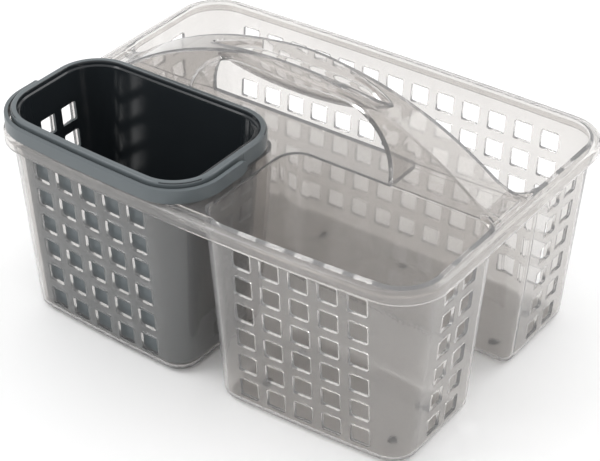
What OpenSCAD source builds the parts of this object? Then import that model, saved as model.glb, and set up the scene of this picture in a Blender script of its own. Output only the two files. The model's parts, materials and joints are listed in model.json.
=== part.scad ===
// Shower caddy: a clear tote with three wells and an arched carry handle,
// and a grey lift-out basket with a folding bail in the front left well.
// Origin: middle of the footprint, on the surface. X along the handle, +Y to the back, +Z up.

/* [Tote] */
// length over the wells just under the rim
tote_l = 333; // [300:1:380]
// front face of the tote at the middle, from the origin
front_y = 122; // [108:0.5:140]
// back face of the tote at the middle, from the origin
back_y = 122; // [108:0.5:140]
// height from the surface to the rim
tote_h = 147; // [120:1:170]
// wall thickness of the moulding
wall = 2.5; // [1.8:0.1:3.2]
// inward lean of every wall per millimetre of height
taper = 0.07; // [0.04:0.005:0.08]
// plan radius of the outer corners at the rim
corner_r = 26; // [23:1:32]
// plan radius of the corners along the divider at the rim
inner_r = 18; // [17:1:22]
// radius where a wall turns into its floor
foot_r = 7; // [4:0.5:7.5]
// how far the front bows out between its two ends
front_bow = 8; // [2:0.5:12]
// how far the back bows out between its two ends
back_bow = 2.5; // [1:0.5:6]
// height of the moulded feet
foot_h = 1; // [0.5:0.1:1.5]
// diameter of the moulded feet
foot_d = 7; // [4:0.5:10]

/* [Openings] */
// spacing of the square openings along a wall
pitch = 21; // [18:0.5:22]
// spacing of the rows of openings
row_pitch = 21.3; // [17:0.1:21.6]
// side of one square opening
hole = 14; // [10:0.5:16]
// how much an opening narrows on each side through the wall
draft = 0.3; // [0:0.05:0.5]
// rows of openings
rows = 6; // [3:1:6]
// top of the first row below the rim
row_drop = 15.5; // [13:0.5:20]

/* [Rim] */
// how far the lip stands out from the walls
lip_out = 5.9; // [4.5:0.1:8]
// depth of the lip at its outer edge
lip_drop = 9.6; // [7:0.1:12]
// thickness of the lip
lip_t = 2.2; // [1.6:0.1:3]

/* [Divider] */
// front face of the carry handle and divider gap, towards the front of the origin
gap_front = 12.6; // [10:0.1:15]
// back face of the divider gap, behind the origin
gap_back = 15.6; // [12:0.1:20]
// gap between the two front wells at the rim
saddle_gap = 6; // [5:0.5:12]
// drop from the rim to the deck that closes the gaps
deck_drop = 5; // [3:0.5:7]

/* [Carry handle] */
// height of the handle crown above the rim
crown = 53.5; // [45:0.5:70]
// distance from the outer face of a short wall to the end of the handle's arc at the rim
span_gap = 16.5; // [14.5:0.5:26]
// half length of the finger opening at the deck
window_x = 81; // [70:1:90]
// height of the top of the finger opening above the deck
window_h = 47; // [35:0.5:52]
// radius of the upper corners of the finger opening
window_r = 43; // [30:1:46]
// half width of the handle at the crown
band_w = 12.6; // [11:0.1:14]
// half width of the handle at the deck
band_foot = 15.6; // [14:0.1:16]
// half length of the dished grip
grip_x = 73.5; // [65:0.5:80]
// height of the grip axis above the rim
grip_z = 41; // [36:0.5:46]

/* [Basket] */
// height of the basket lip above the rim of the tote
basket_up = 13; // [11:0.5:20]
// clearance between the basket and its well
basket_gap = 1.3; // [0.8:0.1:2]
// extra clearance along the divider
basket_back_gap = 4.4; // [4:0.1:8]
// wall thickness of the basket
basket_wall = 2; // [1.6:0.1:2.6]
// how far the basket lip stands out from its wall
basket_lip = 4.4; // [3.6:0.1:5]
// thickness of the basket lip
basket_lip_t = 2.6; // [2:0.1:3.2]

/* [Bail] */
// height of the bail strap
bail_h = 9.6; // [7:0.1:10]
// thickness of the bail strap
bail_t = 2.8; // [2:0.1:3.4]
// gap between the bail and the basket lip
bail_gap = 0.8; // [0.5:0.1:1.5]
// diameter of the pivot pins
pin_d = 6; // [4:0.1:6.5]
// radial clearance of a pin in its socket
pin_fit = 0.06; // [0.03:0.01:0.1]

/* [Hidden] */
$fn = 96;
// segments round a full turn of the long shallow arcs: of a lip or strap, and of a well
arc_fn = 1440;
well_arc_fn = 720;
// segments round the corners and the foot of a well
well_fn = 48;
foot_fn = 24;
// overrun that keeps cutters clear of the faces they cut through
e = 1;
// straights and arcs lie this far inside the corners they meet, and run this far into them
seam = 0.05;
lap = 0.45;
// inner and outer faces of a front well at the rim
well_in = saddle_gap / 2;
well_out = tote_l / 2;
// half span of the handle where its arc meets the rim
span = well_out - span_gap;
// radii of the shallow arcs that give the front and back their bow
front_r = well_out * well_out / (2 * front_bow);
back_r = well_out * well_out / (2 * back_bow);
// inside radius where a wall turns into its floor
inside_foot_r = foot_r - wall;
// middles of the pairs of columns in the short sides
side_front_y = -60;
side_back_y = 66;
// middle column of openings in a front well
col_x = 4 * pitch;
deck_z = tote_h - deck_drop;
lip_z = tote_h - lip_drop;
// middle of the divider and the carry handle
mid_y = (gap_back - gap_front) / 2;
// radii of the handle crown, and of the long arcs of the grip seen from above
crown_r = (span * span + crown * crown) / (2 * crown);
grip_r = (grip_x * grip_x + band_w * band_w) / (2 * band_w);
crown_z = tote_h + crown;
grip_axis_z = tote_h + grip_z;
// basket: underside, lip, and the faces of its wall at the height of the tote rim
basket_z = foot_h + wall;
basket_top = tote_h + basket_up;
basket_left = -(well_out - wall - basket_gap);
basket_right = -(well_in + wall + basket_gap);
basket_back = -(gap_front + wall + basket_back_gap);
basket_front = -(front_y - wall - basket_gap);
basket_arc = front_r - wall - basket_gap;
basket_corner = 27;
basket_foot_r = 5;
basket_mid = (basket_left + basket_right) / 2;
// the wall leans out by this much between the tote rim and the basket lip
flare = taper * basket_up;
upper_lip = basket_lip - 1;
// underside of the flange behind the pivots
flange_z = tote_h + 3.5;
// bail pivot
bail_clear = 0.7;
pivot_y = -68;
pivot_z = tote_h + bail_clear + bail_h / 2;
bail_in = basket_lip + bail_gap;
boss_r = bail_h / 2;
// sharp edges of the straps and lips are taken off by this much
edge = 0.7;

// Distance from a corner centre to the wall face at height z
function reach(r, z) = r - taper * (tote_h - z);

// Distance from a long arc's centre line to a corner centre, across the arc
function across(big, r, x) = sqrt((big - r) * (big - r) - x * x);

// Top of opening row i
function row_top(i, drop) = tote_h - drop - i * row_pitch;

// Section of a leaning wall, from the corner centre line outward, with its rounded foot
module wall_section(r, zf, rf, top) {
    lean = atan(taper);
    cx = reach(r, zf + rf) - rf / cos(lean);
    hull() {
        polygon([
            [0, zf],
            [cx, zf],
            [reach(r, top), top],
            [0, top]
        ]);
        intersection() {
            translate([cx, zf + rf])
                circle(rf, $fn = foot_fn);
            translate([cx, zf])
                square([rf + e, rf]);
        }
    }
}

// Straight run of a section, its outer side on the left of the way from one point to the next
module run(from, to) {
    d = to - from;
    translate([from[0], from[1], 0])
        rotate([0, 0, atan2(d[1], d[0])])
            translate([-lap, -seam, 0])
                rotate([90, 0, 90])
                    linear_extrude(norm(d) + 2 * lap)
                        children();
}

// A section turned about a corner centre
module turn(at, start, angle) {
    translate([at[0], at[1], 0])
        rotate([0, 0, start])
            rotate_extrude(angle = angle)
                children();
}

// A section turned along a long shallow arc of radius big about [0, at]
module long_arc(at, big, start, angle) {
    more = lap / big * 180 / PI;
    translate([0, at, 0])
        rotate([0, 0, start - more])
            rotate_extrude(angle = angle + 2 * more, $fn = arc_fn)
                translate([-seam, 0])
                    children();
}

// Solid leaning tub from xa to xb, its straight face at ys and its arc towards -Y with the crown at ya
module tub(xa, xb, ys, ya, big, rc, ri, inset, zf, rf, top) {
    yc = ya + big;
    pl = [xa + rc, yc - across(big, rc, xa + rc)];
    pr = [xb - rc, yc - across(big, rc, xb - rc)];
    al = atan2(pl[1] - yc, pl[0]);
    ar = atan2(pr[1] - yc, pr[0]);
    hull() {
        for (at = [pl, pr])
            translate([at[0], at[1], 0])
                rotate_extrude($fn = well_fn)
                    wall_section(rc - inset, zf, rf, top);
        for (x = [xa + ri, xb - ri])
            translate([x, ys - ri, 0])
                rotate_extrude($fn = well_fn)
                    wall_section(ri - inset, zf, rf, top);
        translate([0, yc, 0])
            rotate([0, 0, al])
                rotate_extrude(angle = ar - al, $fn = well_arc_fn)
                    translate([big - rc, 0])
                        wall_section(rc - inset, zf, rf, top);
    }
}

// Right front well, solid: outside at inset 0, inside at inset wall
module front_tub(inset, zf, rf, top) {
    tub(well_in, well_out, -gap_front, -front_y, front_r, corner_r, inner_r, inset, zf, rf, top);
}

module back_tub(inset, zf, rf, top) {
    mirror([0, 1, 0])
        tub(-well_out, well_out, -gap_back, -back_y, back_r, corner_r, inner_r, inset, zf, rf, top);
}

// A section carried round the outside of the tote, with zero on the wall face at the rim
module tote_loop() {
    cx = well_out - corner_r;
    yf = front_r - front_y;
    yb = back_y - back_r;
    fy = yf - across(front_r, corner_r, cx);
    by = yb + across(back_r, corner_r, cx);
    af = atan2(fy - yf, cx);
    ab = atan2(by - yb, cx);
    union() {
        turn([cx, fy], af, -af)
            translate([corner_r, 0])
                children();
        turn([-cx, fy], 180, -af)
            translate([corner_r, 0])
                children();
        turn([cx, by], 0, ab)
            translate([corner_r, 0])
                children();
        turn([-cx, by], 180 - ab, ab)
            translate([corner_r, 0])
                children();
        run([cx, by], [cx, fy])
            translate([corner_r, 0])
                children();
        run([-cx, fy], [-cx, by])
            translate([corner_r, 0])
                children();
        long_arc(yf, front_r, -180 - af, 180 + 2 * af)
            translate([front_r, 0])
                children();
        long_arc(yb, back_r, ab, 180 - 2 * ab)
            translate([back_r, 0])
                children();
    }
}

// One square opening cut along +Y from y = 0 to y = depth, a little narrower at its far end
module opening(depth) {
    hull() {
        translate([-hole / 2, 0, 0])
            cube([hole, e, hole]);
        translate([-hole / 2 + draft, depth - e, draft])
            cube([hole - 2 * draft, e, hole - 2 * draft]);
    }
}

// Square openings in a wall that faces front: columns about x, cut from y0 to y1
module wall_openings(x, cols, y0, y1) {
    for (c = [0:cols - 1])
        for (r = [0:rows - 1])
            translate([x + (c - (cols - 1) / 2) * pitch, y0, row_top(r, row_drop) - hole])
                opening(y1 - y0);
}

// Square openings in a short side on the right: columns about y, cut inward from x0 to x1
module side_openings(y, cols, x0, x1, drop) {
    for (c = [0:cols - 1])
        for (r = [0:rows - 1])
            translate([x0, y + (c - (cols - 1) / 2) * pitch, row_top(r, drop) - hole])
                rotate([0, 0, 90])
                    opening(x0 - x1);
}

// Moulded feet near the corners of a well
module feet(x0, x1, y0, y1) {
    for (x = [x0, x1])
        for (y = [y0, y1])
            translate([x, y, 0])
                cylinder(h = foot_h + wall / 2, d = foot_d);
}

module front_well() {
    difference() {
        union() {
            front_tub(0, foot_h, foot_r, tote_h);
            feet(well_in + 32, well_out - 32, -front_y + 40, -gap_front - 30);
        }
        front_tub(wall, foot_h + wall, inside_foot_r, tote_h + e);
        wall_openings(col_x, 5, -front_y - e, -front_y + 30);
        side_openings(side_front_y, 2, well_out + e, well_out - 20, row_drop);
        above_deck_front();
    }
}

// The front wells drop to the deck along the divider and along the saddle between them
module above_deck_front() {
    translate([-span, -gap_front - wall - 0.6, deck_z])
        cube([2 * span, gap_front, deck_drop + e]);
    translate([0, -front_y + 12, deck_z])
        cube([well_in + wall + 0.6, front_y, deck_drop + e]);
    translate([0, -gap_front - inner_r, deck_z])
        cube([well_in + inner_r, inner_r, deck_drop + e]);
}

module right_front_well() {
    color("lightgrey")
        front_well();
}

module left_front_well() {
    color("lightgrey")
        mirror([1, 0, 0])
            front_well();
}

module back_well() {
    color("gainsboro")
        difference() {
            union() {
                back_tub(0, foot_h, foot_r, tote_h);
                feet(-well_out + 32, well_out - 32, gap_back + 30, back_y - 36);
            }
            back_tub(wall, foot_h + wall, inside_foot_r, tote_h + e);
            mirror([0, 1, 0])
                wall_openings(0, 13, -back_y - e, -back_y + 30);
            for (s = [0, 1])
                mirror([s, 0, 0])
                    side_openings(side_back_y, 2, well_out + e, well_out - 20, row_drop);
            translate([-span, 0, deck_z])
                cube([2 * span, gap_back + wall + 0.6, deck_drop + e]);
        }
}

// Lip outside the walls: a top that slopes off the rim, and a skirt hanging from it
module rim() {
    root = 2 * lip_t;
    color("silver")
        difference() {
            tote_loop()
                polygon([
                    [0, tote_h],
                    [lip_out - 1.6, tote_h - 1.1],
                    [lip_out - 0.4, tote_h - 2],
                    [lip_out, tote_h - 3.2],
                    [lip_out, lip_z],
                    [lip_out - lip_t, lip_z],
                    [lip_out - lip_t, tote_h - root + 0.4],
                    [-taper * root, tote_h - root]
                ]);
            for (s = [0, 1])
                mirror([s, 0, 0])
                    front_tub(0, foot_h, foot_r, tote_h + e);
            back_tub(0, foot_h, foot_r, tote_h + e);
        }
}

// Section of the curtain that hangs under the rim across a notch between two wells
module curtain() {
    polygon([
        [0, tote_h],
        [-taper * lip_drop, lip_z],
        [-taper * lip_drop - wall, lip_z],
        [-wall, tote_h]
    ]);
}

// Deck that closes the gaps between the wells, with a curtain under the rim where they meet the outside
module divider_deck() {
    inside = well_out - wall / 2;
    // each curtain ends where the rounded corners of the wells come within a hair of the rim
    front_half = well_in + corner_r - 3;
    side_front = -gap_front - inner_r + 3;
    side_back = gap_back + inner_r - 3;
    turned = asin(front_half / front_r);
    color("gainsboro")
        difference() {
            union() {
                long_arc(front_r - front_y, front_r, -90 - turned, 2 * turned)
                    translate([front_r, 0])
                        curtain();
                run([well_out, side_back], [well_out, side_front])
                    curtain();
                run([-well_out, side_front], [-well_out, side_back])
                    curtain();
                translate([-inside, -gap_front - 1.5 * inner_r, deck_z - wall])
                    cube([2 * inside, gap_front + gap_back + 3 * inner_r, wall]);
                translate([-1.5 * corner_r, -front_y + wall / 2, deck_z - wall])
                    cube([3 * corner_r, front_y, wall]);
                for (s = [-1, 1])
                    translate([s * (span + inside) / 2, mid_y, tote_h - deck_drop / 2])
                        cube([inside - span, gap_front + gap_back + 2 * inner_r, deck_drop], center = true);
            }
            front_tub(0, foot_h, foot_r, tote_h + e);
            mirror([1, 0, 0])
                front_tub(0, foot_h, foot_r, tote_h + e);
            back_tub(0, foot_h, foot_r, tote_h + e);
            for (s = [-1, 1])
                translate([s * (window_x + span - wall) / 2, mid_y, deck_z])
                    cube([span - window_x - 3 * wall, 2 * (band_foot - wall), 4 * wall], center = true);
        }
}

// Handle seen from the front, grown or shrunk by inset: under the crown arc, with the finger opening out
module handle_face(inset) {
    difference() {
        intersection() {
            translate([0, crown_z - crown_r])
                circle(crown_r - inset, $fn = 720);
            translate([-span + 2 * inset, deck_z - (inset > 0 ? e : 0)])
                square([2 * (span - 2 * inset), crown + 2 * deck_drop]);
        }
        finger_opening(inset);
    }
}

module finger_opening(grow) {
    flat = window_x - window_r;
    union() {
        for (s = [-1, 1])
            translate([s * flat, deck_z + window_h - window_r])
                circle(window_r + grow);
        translate([-flat, deck_z + window_h - window_r])
            square([2 * flat, window_r + grow]);
        translate([-window_x - grow, deck_z - 2 * e])
            square([2 * (window_x + grow), window_h - window_r + 2 * e]);
    }
}

// Handle seen from the end: leaning sides, wider at the deck
module handle_end(inset) {
    polygon([
        [-band_foot + inset, deck_z - 2 * e],
        [band_foot - inset, deck_z - 2 * e],
        [band_w - inset, crown_z + e],
        [inset - band_w, crown_z + e]
    ]);
}

module handle_block(inset) {
    intersection() {
        translate([0, mid_y + band_foot + e, 0])
            rotate([90, 0, 0])
                linear_extrude(2 * (band_foot + e))
                    handle_face(inset);
        translate([-span - e, mid_y, 0])
            rotate([90, 0, 90])
                linear_extrude(2 * (span + e))
                    handle_end(inset);
    }
}

// Grip seen from above: two long arcs that meet in a point at each end
module grip_lens(inset) {
    intersection() {
        translate([0, grip_r - band_w])
            circle(grip_r - inset, $fn = 720);
        translate([0, band_w - grip_r])
            circle(grip_r - inset, $fn = 720);
    }
}

// Boat-shaped grip: the lens carried up through the crown and turned about its axis below
module grip_boat(inset, top) {
    union() {
        translate([0, mid_y, grip_axis_z])
            linear_extrude(top - grip_axis_z)
                grip_lens(inset);
        translate([0, mid_y, grip_axis_z])
            rotate([0, 90, 0])
                rotate_extrude(angle = 180)
                    rotate([0, 0, 90])
                        intersection() {
                            grip_lens(inset);
                            translate([-2 * grip_x, -2 * band_w])
                                square([4 * grip_x, 2 * band_w]);
                        }
    }
}

module carry_handle() {
    color("white")
        difference() {
            union() {
                difference() {
                    handle_block(0);
                    handle_block(wall);
                }
                intersection() {
                    grip_boat(0, crown_z + e);
                    translate([0, mid_y + band_foot, crown_z - crown_r])
                        rotate([90, 0, 0])
                            cylinder(h = 2 * band_foot, r = crown_r, $fn = 720);
                }
            }
            grip_boat(wall, crown_z + 2 * e);
        }
}

// A section carried round the front of the basket, from one end wall to the other, back to y = stop,
// with zero on the wall face at the lip
module basket_front_loop(stop) {
    rc = basket_corner + flare;
    xa = basket_left - flare;
    xb = basket_right + flare;
    big = basket_arc + flare;
    yc = basket_front + basket_arc;
    pl = [xa + rc, yc - across(big, rc, xa + rc)];
    pr = [xb - rc, yc - across(big, rc, xb - rc)];
    al = atan2(pl[1] - yc, pl[0]);
    ar = atan2(pr[1] - yc, pr[0]);
    union() {
        turn(pl, 180, 180 + al)
            translate([rc, 0])
                children();
        turn(pr, ar, -ar)
            translate([rc, 0])
                children();
        long_arc(yc, big, al, ar - al)
            translate([big, 0])
                children();
        run([xa + rc, pl[1]], [xa + rc, stop])
            translate([rc, 0])
                children();
        run([xb - rc, stop], [xb - rc, pr[1]])
            translate([rc, 0])
                children();
    }
}

// The same, round the back of the basket from y = stop
module basket_back_loop(stop) {
    rc = basket_corner + flare;
    xa = basket_left - flare;
    xb = basket_right + flare;
    ys = basket_back + flare;
    union() {
        turn([xa + rc, ys - rc], 90, 90)
            translate([rc, 0])
                children();
        turn([xb - rc, ys - rc], 0, 90)
            translate([rc, 0])
                children();
        run([xa + rc, ys - rc], [xb - rc, ys - rc])
            translate([rc, 0])
                children();
        run([xa + rc, stop], [xa + rc, ys - rc])
            translate([rc, 0])
                children();
        run([xb - rc, ys - rc], [xb - rc, stop])
            translate([rc, 0])
                children();
    }
}

module basket_tub(inset, zf, rf, top) {
    tub(basket_left, basket_right, basket_back, basket_front, basket_arc, basket_corner, basket_corner,
        inset, zf, rf, top);
}

module basket_well() {
    color("slategrey")
        difference() {
            basket_tub(0, basket_z, basket_foot_r, basket_top);
            basket_tub(basket_wall, basket_z + basket_wall, basket_foot_r - basket_wall, basket_top + e);
            for (s = [0, 1])
                translate([basket_mid, 0, 0])
                    mirror([s, 0, 0])
                        translate([-basket_mid, 0, 0])
                            side_openings(side_front_y, 2, basket_right + 2 * e, basket_right - 20, row_drop - 2.4);
        }
}

// Lip round the top of the basket, a deeper flange behind the pivots, and the two pivot bosses
module basket_rim() {
    low = basket_top - basket_lip_t;
    meet = pivot_y + boss_r + 1.5;
    half = basket_right - basket_mid - e;
    color("dimgrey")
        difference() {
            union() {
                basket_front_loop(meet)
                    polygon([
                        [0, basket_top],
                        [upper_lip - edge, basket_top],
                        [upper_lip, basket_top - edge],
                        [upper_lip, low],
                        [-taper * basket_lip_t, low]
                    ]);
                basket_back_loop(meet)
                    polygon([
                        [0, basket_top],
                        [upper_lip - edge, basket_top],
                        [upper_lip, basket_top - edge],
                        [upper_lip, low + 0.6],
                        [basket_lip, low],
                        [basket_lip, flange_z],
                        [upper_lip - 1.2, flange_z],
                        [upper_lip - 1.2, low],
                        [-taper * basket_lip_t, low]
                    ]);
                for (s = [0, 1])
                    translate([basket_mid, pivot_y, pivot_z])
                        mirror([s, 0, 0])
                            pivot_boss();
            }
            for (s = [0, 1])
                translate([basket_mid, pivot_y, pivot_z])
                    mirror([s, 0, 0])
                        translate([half, 0, 0])
                            rotate([0, 90, 0])
                                cylinder(h = 4 * basket_lip, d = pin_d + 2 * pin_fit);
            basket_tub(0, basket_z, basket_foot_r, basket_top + e);
        }
}

// Boss under the lip on the right, about the bail's axis, its root inside the wall
module pivot_boss() {
    half = basket_right - basket_mid - e;
    under_lip = basket_top - basket_lip_t + 1 - pivot_z;
    union() {
        translate([half, 0, 0])
            rotate([0, 90, 0])
                cylinder(h = flare + basket_lip + e, r = boss_r);
        hull() {
            translate([half, 0, 0])
                rotate([0, 90, 0])
                    cylinder(h = flare + upper_lip + e, r = boss_r - 0.3);
            translate([half, 0.3 - boss_r, 0])
                cube([flare + upper_lip + e, 2 * boss_r - 0.6, under_lip]);
        }
    }
}

// Strap that folds down round the front of the basket, with a pin inside each end
module bail_handle() {
    low = pivot_z - bail_h / 2;
    high = pivot_z + bail_h / 2;
    face = basket_right - basket_mid + flare + bail_in;
    color("grey")
        union() {
            basket_front_loop(pivot_y)
                polygon([
                    [bail_in, low],
                    [bail_in + bail_t, low],
                    [bail_in + bail_t, high - edge],
                    [bail_in + bail_t - edge, high],
                    [bail_in, high]
                ]);
            for (s = [-1, 1])
                translate([basket_mid, pivot_y, pivot_z])
                    rotate([0, 90 * s, 0]) {
                        translate([0, 0, face])
                            cylinder(h = bail_t, r = bail_h / 2);
                        translate([0, 0, face - bail_in + 0.6])
                            cylinder(h = bail_in, d = pin_d);
                    }
        }
}

left_front_well();
right_front_well();
back_well();
rim();
divider_deck();
carry_handle();
basket_well();
basket_rim();
bail_handle();
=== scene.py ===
"""Shower caddy: a smoke-clear tote with three wells and an arched carry handle,
and a grey lift-out basket with a folding bail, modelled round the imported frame."""

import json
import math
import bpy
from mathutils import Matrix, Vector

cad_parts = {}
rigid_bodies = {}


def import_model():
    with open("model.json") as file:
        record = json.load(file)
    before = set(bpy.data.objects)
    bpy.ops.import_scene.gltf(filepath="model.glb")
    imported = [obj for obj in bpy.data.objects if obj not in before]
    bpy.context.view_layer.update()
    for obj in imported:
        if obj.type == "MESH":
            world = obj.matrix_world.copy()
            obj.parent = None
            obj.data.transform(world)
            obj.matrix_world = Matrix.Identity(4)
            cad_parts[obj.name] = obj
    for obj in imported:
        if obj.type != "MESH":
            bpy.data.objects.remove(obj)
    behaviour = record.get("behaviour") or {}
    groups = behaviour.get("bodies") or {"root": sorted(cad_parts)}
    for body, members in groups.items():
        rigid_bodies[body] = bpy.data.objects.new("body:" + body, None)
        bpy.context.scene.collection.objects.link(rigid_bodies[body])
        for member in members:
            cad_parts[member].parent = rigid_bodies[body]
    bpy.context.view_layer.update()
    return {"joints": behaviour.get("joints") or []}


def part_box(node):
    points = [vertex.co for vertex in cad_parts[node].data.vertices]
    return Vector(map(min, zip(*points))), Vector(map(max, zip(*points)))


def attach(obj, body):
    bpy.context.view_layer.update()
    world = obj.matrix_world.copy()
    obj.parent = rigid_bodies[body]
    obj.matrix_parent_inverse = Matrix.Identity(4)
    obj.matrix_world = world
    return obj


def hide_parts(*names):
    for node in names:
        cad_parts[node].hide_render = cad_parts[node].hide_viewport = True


bl_info = {
    "name": "Shower Caddy",
    "version": (1, 0, 0),
    "blender": (4, 5, 0),
    "location": "3D View > Sidebar > Caddy",
    "description": "Builds a clear shower tote with a lift-out basket round its CAD frame",
    "category": "Add Mesh",
}

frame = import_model()

import bmesh
import bpy
from mathutils import Matrix, Vector

MM = 0.001

# Driving places, read from the frame: the rim's outer edge, its underside and top,
# the crown of the handle, the basket's lip, and the bail with its axis
RIM_LOW, RIM_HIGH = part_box("rim")
BAIL_LOW, BAIL_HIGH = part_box("bail_handle")
RIM_TOP = RIM_HIGH.z
SKIRT_LOW = RIM_LOW.z
CROWN_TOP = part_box("carry_handle")[1].z
BASKET_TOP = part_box("basket_rim")[1].z
PIVOT = Vector(next(j["pos_m"] for j in frame["joints"] if j["name"] == "bail_fold"))

# Columns of openings in the short sides: two by the front wells, two by the back well
FRONT_COLUMNS = (-70.5 * MM, -49.5 * MM)
BACK_COLUMNS = (55.5 * MM, 76.5 * MM)
# Distances of the moulded feet from the middle in X, and their places in Y, in millimetres
FOOT_X = (35, 134.5)
FOOT_Y = (-82, -42.6, 45.6, 86)
# How far the deck runs under the wells' walls, half the saddle's width, how far a wall is
# cut away beyond its inner face above the deck, and how far such a cut rises past the rim
DECK_LAP = 12 * MM
SADDLE_HALF = 22 * MM
CUT_PAST = 0.6 * MM
CUT_RISE = 9 * MM


def length(name, description, default):
    """A length property of the add-on."""
    return bpy.props.FloatProperty(name=name, description=description, default=default,
                                   subtype="DISTANCE", unit="LENGTH")


def colour(name, description, default):
    """A colour property of the add-on, as an sRGB hex value."""
    return bpy.props.StringProperty(name=name, description=description, default=default)


class CaddyToteSizes(bpy.types.PropertyGroup):
    """Sizes of the clear tote."""

    lip_out: length("Lip overhang", "How far the rim stands out from the walls", 5.9 * MM)
    lip_wall: length("Lip thickness", "Thickness of the skirt under the rim", 2.2 * MM)
    wall: length("Wall", "Wall thickness of the moulding", 2.5 * MM)
    rim_root: length("Rim root", "How far the rim's top reaches past the inside of the walls", 1.6 * MM)
    lean: bpy.props.FloatProperty(name="Lean", description="Inward lean of a wall over its height",
                                  default=0.07)
    corner: length("Outer corner", "Plan radius of the outer corners at the rim", 26 * MM)
    inner_corner: length("Divider corner", "Plan radius of the corners along the divider", 18 * MM)
    foot: length("Foot radius", "Radius where a wall turns into its floor", 7 * MM)
    front_bow: length("Front bow", "How far the front bows out", 8 * MM)
    back_bow: length("Back bow", "How far the back bows out", 2.5 * MM)
    gap_front: length("Gap front", "Front face of the divider gap, ahead of the origin", 12.6 * MM)
    gap_back: length("Gap back", "Back face of the divider gap, behind the origin", 15.6 * MM)
    saddle_gap: length("Saddle gap", "Gap between the two front wells at the rim", 6 * MM)
    deck_drop: length("Deck drop", "Drop from the rim to the deck between the wells", 5 * MM)
    pitch: length("Pitch", "Spacing of the square openings along a wall", 21 * MM)
    row_pitch: length("Row pitch", "Spacing of the rows of openings", 21.3 * MM)
    row_drop: length("Row drop", "Top of the first row below the rim", 15.5 * MM)
    hole: length("Opening", "Side of one square opening", 14 * MM)
    hole_corner: length("Opening corner", "Corner radius of an opening", 1.1 * MM)
    rows: bpy.props.IntProperty(name="Rows", description="Rows of openings", default=6)


class CaddyHandleSizes(bpy.types.PropertyGroup):
    """Sizes of the carry handle."""

    span: length("Span", "Half span of the crown arc at the rim", 150 * MM)
    window_x: length("Finger opening", "Half length of the finger opening at the deck", 81 * MM)
    window_h: length("Finger height", "Height of the finger opening above the deck", 47 * MM)
    window_r: length("Finger corners", "Radius of the upper corners of the finger opening", 43 * MM)
    band: length("Band", "Half width of the handle at its crown", 12.6 * MM)
    band_foot: length("Band foot", "Half width of the handle at the deck", 15.6 * MM)
    sweep: length("End sweep", "Radius that turns each end of the handle into the rim", 40 * MM)
    grip_x: length("Grip", "Half length of the dished grip", 73.5 * MM)
    grip_blunt: bpy.props.FloatProperty(name="Grip ends", default=0.62,
                                        description="Power of the grip's outline: less is blunter")
    grip_z: length("Grip axis", "Height of the grip's axis above the rim", 41 * MM)


class CaddyBasketSizes(bpy.types.PropertyGroup):
    """Sizes of the lift-out basket and its bail."""

    left: length("Left", "Left wall of the basket at the tote rim", -162.7 * MM)
    right: length("Right", "Right wall of the basket at the tote rim", -6.8 * MM)
    back: length("Back", "Back wall of the basket at the tote rim", -19.5 * MM)
    gap: length("Gap", "Clearance between the basket and its well", 1.3 * MM)
    corner: length("Corner", "Plan radius of the corners", 27 * MM)
    wall: length("Wall", "Wall thickness", 2 * MM)
    floor_z: length("Floor", "Height of the basket's underside", 3.5 * MM)
    foot: length("Foot radius", "Radius where a wall turns into the floor", 5 * MM)
    lip: length("Lip", "How far the lip stands out from the wall", 4.2 * MM)
    flange: length("Flange", "How far the rear flange stands out from the wall", 4.4 * MM)
    lip_depth: length("Collar", "Height of the collar under the lip, which stands on the tote's rim", 12 * MM)
    step: length("Collar step", "How far the collar reaches over the saddle, to the right of the tub", 3 * MM)
    mouth: length("Mouth", "How far the mouth opens out beyond the inside of the tub", 1.6 * MM)
    bail_gap: length("Bail gap", "From the wall to the inside of the bail", 6.1 * MM)
    bail_t: length("Bail thickness", "Thickness of the bail strap", 2.8 * MM)
    pin_r: length("Pin radius", "Radius of the pivot pins", 3 * MM)
    first_row: length("First row", "Top of the first row of openings below the tote rim", 13.1 * MM)


class CaddyFinishes(bpy.types.PropertyGroup):
    """Colours of the plastics, of the shade painted inside the basket, and of the studio, as sRGB hex values.
    """

    shell: colour("Clear plastic", "Tint of the clear moulding", "#F3F0ED")
    milk: colour("Milky share", "Colour of the light scattered in the clear moulding", "#DADBDD")
    basket: colour("Basket plastic", "Colour of the basket", "#5B6265")
    # the inside of the basket is the same grey plastic: this darker colour is painted shade for its deep
    # hollow
    basket_inside_shade: colour("Basket inside painted shade", "Dark colour painted inside the basket as shade", "#24282B")
    bail: colour("Bail plastic", "Colour of the bail", "#585F62")
    floor: colour("Floor", "Colour of the studio floor", "#FCFCFC")


# ---------------------------------------------------------------- helpers

def linear(hex_colour):
    """The linear RGBA of an sRGB hex colour."""
    channels = [int(hex_colour[i:i + 2], 16) / 255 for i in (1, 3, 5)]
    return [c / 12.92 if c <= 0.04045 else ((c + 0.055) / 1.055) ** 2.4 for c in channels] + [1.0]


def select_only(obj):
    """Deselects everything but obj and makes it active."""
    for other in bpy.context.view_layer.objects:
        other.select_set(other == obj)
    bpy.context.view_layer.objects.active = obj


def select_none():
    """Deselects everything."""
    for other in bpy.context.view_layer.objects:
        other.select_set(False)


def edit(obj):
    """Enters edit mode on obj and returns its mesh for selecting."""
    select_only(obj)
    bpy.ops.object.mode_set(mode="EDIT")
    return bmesh.from_edit_mesh(obj.data)


def leave_edit():
    """Goes back to object mode."""
    bpy.ops.object.mode_set(mode="OBJECT")


def pick(bm, faces=(), edges=(), verts=()):
    """Selects just these elements in edit mode."""
    bpy.ops.mesh.select_all(action="DESELECT")
    for element in (*faces, *edges, *verts):
        element.select_set(True)
    bm.select_flush_mode()


def apply_modifiers(obj):
    """Applies every modifier of obj in order."""
    select_only(obj)
    for modifier in list(obj.modifiers):
        bpy.ops.object.modifier_apply(modifier=modifier.name)


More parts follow.
